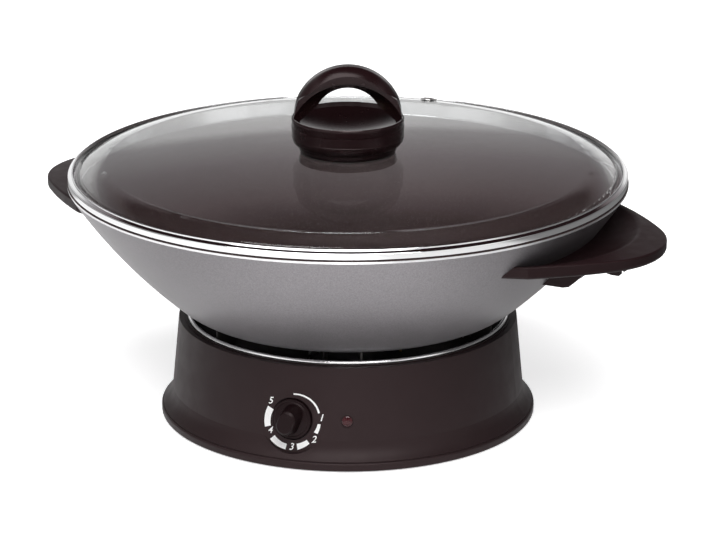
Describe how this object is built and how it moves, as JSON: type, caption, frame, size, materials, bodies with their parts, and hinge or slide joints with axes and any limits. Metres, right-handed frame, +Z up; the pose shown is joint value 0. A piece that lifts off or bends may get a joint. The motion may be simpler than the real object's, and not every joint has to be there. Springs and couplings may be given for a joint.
{
  "type": "electric wok",
  "caption": "Round electric base with a control dial, a lift-off wok pan with side handles, and a lift-off domed glass lid with an arched knob.",
  "frame": {"origin": "on the standing surface, under the middle of the object", "axes": "+Z up; X through the pan's two handles; the dial is on the -Y side"},
  "size_m": [0.431, 0.36, 0.2305],
  "materials": {
    "black_plastic": "satin",
    "knob_plastic": "satin",
    "cover_plastic": "matte",
    "chrome": "polished",
    "steel_polished": "polished",
    "steel": "plain",
    "sheath": "oxidised",
    "pan_metal": "painted outside, non-stick inside",
    "glass": "clear",
    "rubber": "matte",
    "silicone": "matte",
    "red_lens": "translucent",
    "neon": "clear",
    "brass": "plain",
    "ceramic": "glazed"
  },
  "bodies": {
    "base": {"base_housing": "black_plastic", "bottom_cover": "cover_plastic", "cover_screws": "steel", "rubber_feet": "rubber", "reflector_bowl": "chrome", "bowl_screws": "steel", "pan_supports": "steel", "heating_element": "sheath", "element_pins": "steel", "element_cradles": "steel", "sensor_bulb": "steel", "sensor_bracket": "steel", "capillary_tube": "brass", "thermal_fuse": "ceramic", "terminal_block": "ceramic", "thermostat_body": "cover_plastic", "thermostat_nut": "brass", "pilot_lamp_lens": "red_lens", "pilot_lamp_neon": "neon", "cord_gland": "rubber"},
    "dial": {"dial_knob": "knob_plastic", "dial_spindle": "steel"},
    "pan": {"pan_shell": "pan_metal", "handle_right": "black_plastic", "handle_left": "black_plastic", "handle_bracket_right": "steel", "handle_bracket_left": "steel", "handle_screws": "steel"},
    "lid": {"lid_glass": "glass", "lid_rim": "steel_polished", "vent_eyelet": "steel", "knob_seat": "silicone", "knob_base": "knob_plastic", "lid_knob": "knob_plastic", "knob_insert": "brass", "knob_seal": "silicone", "knob_washer": "steel", "knob_screw": "steel"}
  },
  "joints": [
    {"name": "dial_turn", "type": "hinge", "parent": "base", "child": "dial", "pos_m": [0.01594, -0.11198, 0.031], "axis": [-0.1402, 0.9853, -0.0976], "range_deg": [0, 310]},
    {"name": "pan_lift", "type": "slide", "parent": "base", "child": "pan", "axis": [0, 0, 1], "range_m": [0, 0.12]},
    {"name": "lid_lift", "type": "slide", "parent": "pan", "child": "lid", "axis": [0, 0, 1], "range_m": [0, 0.1]}
  ]
}
